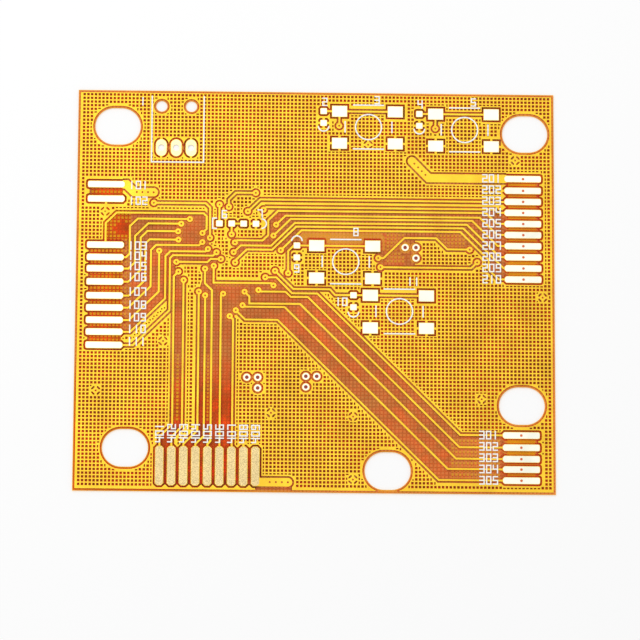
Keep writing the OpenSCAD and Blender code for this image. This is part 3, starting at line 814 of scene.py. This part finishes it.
def adhesive_material(name, tint, outline, bloom, pitch):
    """Clear adhesive, milky in the open, with painted shade: dark red beside copper and darkest
    round the pads.
    """
    n = Nodes(name)
    near = n.add("ShaderNodeAttribute", attribute_name="painted_copper_shade").outputs["Fac"]
    # Painted shade: the clear adhesive turns deep red beside copper and darkest at the pad windows
    colour = n.ramp(near, [
        (0.06, (1.0, 0.88, 0.62)), (0.3, tuple(tint)), (0.55, tuple(tint)), (0.9, tuple(outline))])
    milk = n.add("ShaderNodeAttribute", attribute_name="milk").outputs["Fac"]
    milk = n.math("MULTIPLY", milk, n.span(low_corner(n), 0.46, 0.04))
    milk = n.math("MULTIPLY", milk, n.span(n.noise(2.4, 5.0), 0.5, 1.4))
    milk = n.math("MULTIPLY", milk, n.span(mesh_marks(n, pitch), 1.0, 0.5))
    share = n.math("MULTIPLY", milk, n.math("SUBTRACT", 1.0, n.back()))
    white = n.add("ShaderNodeBsdfDiffuse", {"Color": (*bloom, 1)})
    return n.finish(n.blend(share, n.clear(colour), white))


def tarnished(n, colour):
    """A metal's colour with soft, wide tarnish."""
    return n.ramp(n.noise(3.0, 3.0), [(0.3, shade(colour, 0.9)), (0.7, shade(colour, 1.05))])


def metal_material(name, colour, rough, grain, metallic, speckle=0.0):
    """Metal with rolled grain, soft tarnish and, where asked for, a worn speckle."""
    n = Nodes(name)
    tone = tarnished(n, colour)
    if speckle:
        worn = n.ramp(n.noise(0.12, 4.0), [(0.42, (0, 0, 0)), (0.62, (1, 1, 1))])
        tone = n.mix(worn, tone, (*shade(colour, 1 - speckle), 1))
    roughness = n.span(n.noise(0.4), rough - 0.06, rough + 0.08)
    return n.finish(n.skin(tone, roughness, (grain, 4.0, 0.2, 0.01), Metallic=metallic))


def low_copper_material(name, outer, bonded, pitch):
    """Copper of the underside: bright outside, dark, blotched and faintly meshed where bonded."""
    n = Nodes(name)
    spots = n.ramp(n.noise(1.6, 4.0), [(0.4, shade(bonded, 0.65)), (0.58, shade(bonded, 1.2))])
    cloud = n.ramp(n.noise(9.0, 1.0), [(0.35, (0.5, 0.4, 0.4)), (0.6, (1.0, 1.0, 1.0))])
    blotch = n.mix(1.0, spots, cloud, blend="MULTIPLY")
    marked = n.mix(n.span(mesh_marks(n, pitch), 0.0, 0.55), blotch, (*shade(bonded, 0.4), 1))
    normal = n.add("ShaderNodeTexCoord").outputs["Normal"]
    upper = n.math("GREATER_THAN", n.part(normal, "Z"), 0.5)
    tone = n.mix(upper, tarnished(n, outer), marked)
    roughness = n.span(n.noise(0.4), 0.34, 0.48)
    return n.finish(n.skin(tone, roughness, (0.15, 4.0, 0.2, 0.01), Metallic=0.3))


def ink_material(name, colour):
    """Matt printed ink, a little thin and grainy."""
    n = Nodes(name)
    tone = n.ramp(n.noise(0.2, 3.0), [(0.3, shade(colour, 0.88)), (0.6, colour)])
    return n.finish(n.skin(tone, n.span(n.noise(0.5), 0.55, 0.75), (0.1, 3.0, 0.3, 0.01)))


def floor_material(name):
    """Pale paint that takes shadows, with a share of plain white for what sees it directly."""
    n = Nodes(name)
    rays = n.add("ShaderNodeLightPath").outputs
    seen = n.math("MAXIMUM", rays["Is Camera Ray"], rays["Is Glossy Ray"])
    seen = n.math("MAXIMUM", seen, rays["Is Transmission Ray"])
    paint = n.add("ShaderNodeBsdfDiffuse", {"Color": FLOOR_COLOUR})
    white = n.add("ShaderNodeEmission", {"Color": WHITE, "Strength": 1.0})
    return n.finish(n.blend(n.math("MULTIPLY", seen, FLOOR_WHITE), paint, white))


def coat(piece, material):
    """Gives a piece one material and no other."""
    piece.data.materials.clear()
    piece.data.materials.append(material)


# ---------------------------------------------------------------- operators

class BOARD_OT_films(bpy.types.Operator):
    """Gives the base film and both cover films their clear amber"""
    bl_idname = "board.films"
    bl_label = "Amber films"

    def execute(self, context):
        colours = context.scene.board_colours
        base = film_material("base_film", colours.base_film, gloss=0.01)
        cover = film_material("cover_film", colours.cover_film, gloss=0.02)
        for node, material in (("base_film", base), ("top_cover", cover), ("bottom_cover", cover)):
            piece = eased_copy(node + "_sheet", node)
            coat(piece, material)
            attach(piece, BODY)
            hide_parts(node)
        return {"FINISHED"}


class BOARD_OT_planes(bpy.types.Operator):
    """Builds both ground planes with their square openings"""
    bl_idname = "board.planes"
    bl_label = "Meshed ground planes"

    def execute(self, context):
        plane, colours = context.scene.board_plane, context.scene.board_colours
        above = outline_of("top_ground")

        def under_tracks(x, y):
            """The bottom plane is solid below the bundles of tracks, apart from some windows."""
            if math.hypot(x - SOLID_DISC[0], y - SOLID_DISC[1]) < SOLID_DISC[2]:
                return True
            if any(a < x < c and b < y < d for a, b, c, d in LOW_WINDOWS):
                return False
            return not is_inside(above, x, y)

        top, openings = meshed_plane("top_mesh", "top_ground", plane, 0, lambda x, y: False)
        coat(top, metal_material(
            "top_copper_mesh", colours.top_copper, rough=0.38, grain=0.15, metallic=0.35))
        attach(top, BODY)
        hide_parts("top_ground")

        glue = adhesive_sheet("top_adhesive", plane, openings)
        coat(glue, adhesive_material(
            "adhesive", colours.adhesive, colours.outline, colours.haze, plane.pitch))
        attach(glue, BODY)

        low, _ = meshed_plane(
            "bottom_mesh", "bottom_ground", plane, plane.pitch / 2, under_tracks)
        coat(low, low_copper_material(
            "bottom_copper_mesh", colours.low_copper, colours.bonded_copper, plane.pitch))
        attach(low, BODY)
        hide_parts("bottom_ground")
        return {"FINISHED"}


class BOARD_OT_tracks(bpy.types.Operator):
    """Gives the tracks, lands and plated holes their copper"""
    bl_idname = "board.tracks"
    bl_label = "Copper tracks"

    def execute(self, context):
        plane, colours = context.scene.board_plane, context.scene.board_colours
        top = metal_material(
            "top_copper_tracks", colours.top_copper, rough=0.36, grain=0.15, metallic=0.35)
        for node in TOP_TRACKS:
            coat(NODES[node], top)
        coat(NODES["bottom_lands"], low_copper_material(
            "low_lands", colours.low_copper, colours.bonded_copper, plane.pitch))
        return {"FINISHED"}


class BOARD_OT_contacts(bpy.types.Operator):
    """Gives the contacts and pads their gold finish, near white as a painted highlight on the pale
    pads, with red spots on the contacts and discs of painted shade in the test holes
    """
    bl_idname = "board.contacts"
    bl_label = "Gold contacts and pads"

    def execute(self, context):
        colours = context.scene.board_colours
        # The pads' gold is painted near white as a painted highlight
        pale = metal_material(
            "pale_gold", colours.pale_gold, rough=0.4, grain=0.2, metallic=0.2)
        for node in PALE_GOLD:
            coat(NODES[node], pale)
        coat(NODES["header_gold"], metal_material(
            "header_gold", colours.header_gold, rough=0.42, grain=0.2, metallic=0.3,
            speckle=0.15))
        coat(NODES["bottom_gold"], metal_material(
            "worn_gold", colours.worn_gold, rough=0.42, grain=0.12, metallic=0.35, speckle=0.5))
        marks = contact_marks("contact_marks")
        # Plain dark red round spots in the middle of the contacts
        coat(marks, metal_material(
            "red_contact_spot", MARK_COLOUR, rough=0.5, grain=0.1, metallic=0.1))
        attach(marks, BODY)
        # Dark discs of painted shade low in the test pads' holes
        spots = test_hole_marks("test_hole_marks")
        coat(spots, metal_material(
            "painted_hole_shade", HOLE_SHADE_COLOUR, rough=0.5, grain=0.1, metallic=0.1))
        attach(spots, BODY)
        return {"FINISHED"}


class BOARD_OT_legend(bpy.types.Operator):
    """Prints the legend's lines and the plain running numbers"""
    bl_idname = "board.legend"
    bl_label = "Printed legend"

    def execute(self, context):
        ink = ink_material("white_ink", context.scene.board_colours.ink)
        coat(NODES["legend"], ink)
        numbers = printed_numbers("legend_numbers", context.scene.board_legend)
        coat(numbers, ink)
        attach(numbers, BODY)
        return {"FINISHED"}


class BOARD_OT_stage(bpy.types.Operator):
    """Lays the pale floor and sets the camera, lamp and world"""
    bl_idname = "board.stage"
    bl_label = "Floor, light and camera"

    def execute(self, context):
        scene = context.scene
        stage = scene.board_stage
        corners = ((-1, -1), (1, -1), (1, 1), (-1, 1))
        floor = add_mesh(
            "floor", [(FLOOR_REACH * a, FLOOR_REACH * b, FLOOR_HEIGHT) for a, b in corners],
            [(0, 1, 2, 3)])
        coat(floor, floor_material("pale_floor"))

        world = bpy.data.worlds.new("soft_sky")
        world.use_nodes = True
        sky = world.node_tree.nodes["Background"]
        sky.inputs["Color"].default_value = WHITE
        sky.inputs["Strength"].default_value = stage.world
        scene.world = world

        lamp = bpy.data.lights.new("soft_lamp", "AREA")
        lamp.size = LAMP_SIZE
        lamp.energy = stage.lamp
        lamp_holder = bpy.data.objects.new("soft_lamp", lamp)
        lamp_holder.location = LAMP_PLACE
        lamp_holder.rotation_euler = (-Vector(LAMP_PLACE)).to_track_quat("-Z", "Y").to_euler()
        scene.collection.objects.link(lamp_holder)

        camera = bpy.data.cameras.new("camera")
        camera.lens = stage.lens
        camera.clip_start, camera.clip_end = 0.01, 10
        holder = bpy.data.objects.new("camera", camera)
        holder.rotation_euler = [math.radians(a) for a in CAMERA_TURN]
        back = holder.rotation_euler.to_matrix() @ Vector((0, 0, stage.distance))
        holder.location = Vector((CAMERA_AIM[0] * MM, CAMERA_AIM[1] * MM, 0)) + back
        scene.collection.objects.link(holder)
        scene.camera = holder
        scene.view_settings.view_transform = "Standard"
        scene.cycles.transparent_max_bounces = CLEAR_BOUNCES
        return {"FINISHED"}


class BOARD_PT_panel(bpy.types.Panel):
    """Lists the steps that dress the board"""
    bl_idname = "BOARD_PT_panel"
    bl_label = "Circuit board"
    bl_space_type = "VIEW_3D"
    bl_region_type = "UI"
    bl_category = "Circuit board"

    def draw(self, context):
        for group in (
            context.scene.board_plane, context.scene.board_legend,
            context.scene.board_colours, context.scene.board_stage,
        ):
            box = self.layout.box()
            for name in group.__annotations__:
                box.prop(group, name)
        for step in OPERATORS:
            self.layout.operator(step.bl_idname)


GROUPS = {
    "board_plane": PlaneSettings, "board_legend": LegendSettings,
    "board_colours": ColourSettings, "board_stage": StageSettings,
}
OPERATORS = [
    BOARD_OT_films, BOARD_OT_planes, BOARD_OT_tracks, BOARD_OT_contacts, BOARD_OT_legend,
    BOARD_OT_stage,
]


def register():
    for cls in [*GROUPS.values(), *OPERATORS, BOARD_PT_panel]:
        bpy.utils.register_class(cls)
    for name, group in GROUPS.items():
        setattr(bpy.types.Scene, name, bpy.props.PointerProperty(type=group))


def unregister():
    for name in GROUPS:
        delattr(bpy.types.Scene, name)
    for cls in reversed([*GROUPS.values(), *OPERATORS, BOARD_PT_panel]):
        bpy.utils.unregister_class(cls)


def main():
    register()
    bpy.ops.board.films()
    bpy.ops.board.planes()
    bpy.ops.board.tracks()
    bpy.ops.board.contacts()
    bpy.ops.board.legend()
    bpy.ops.board.stage()


if __name__ == "__main__":
    main()
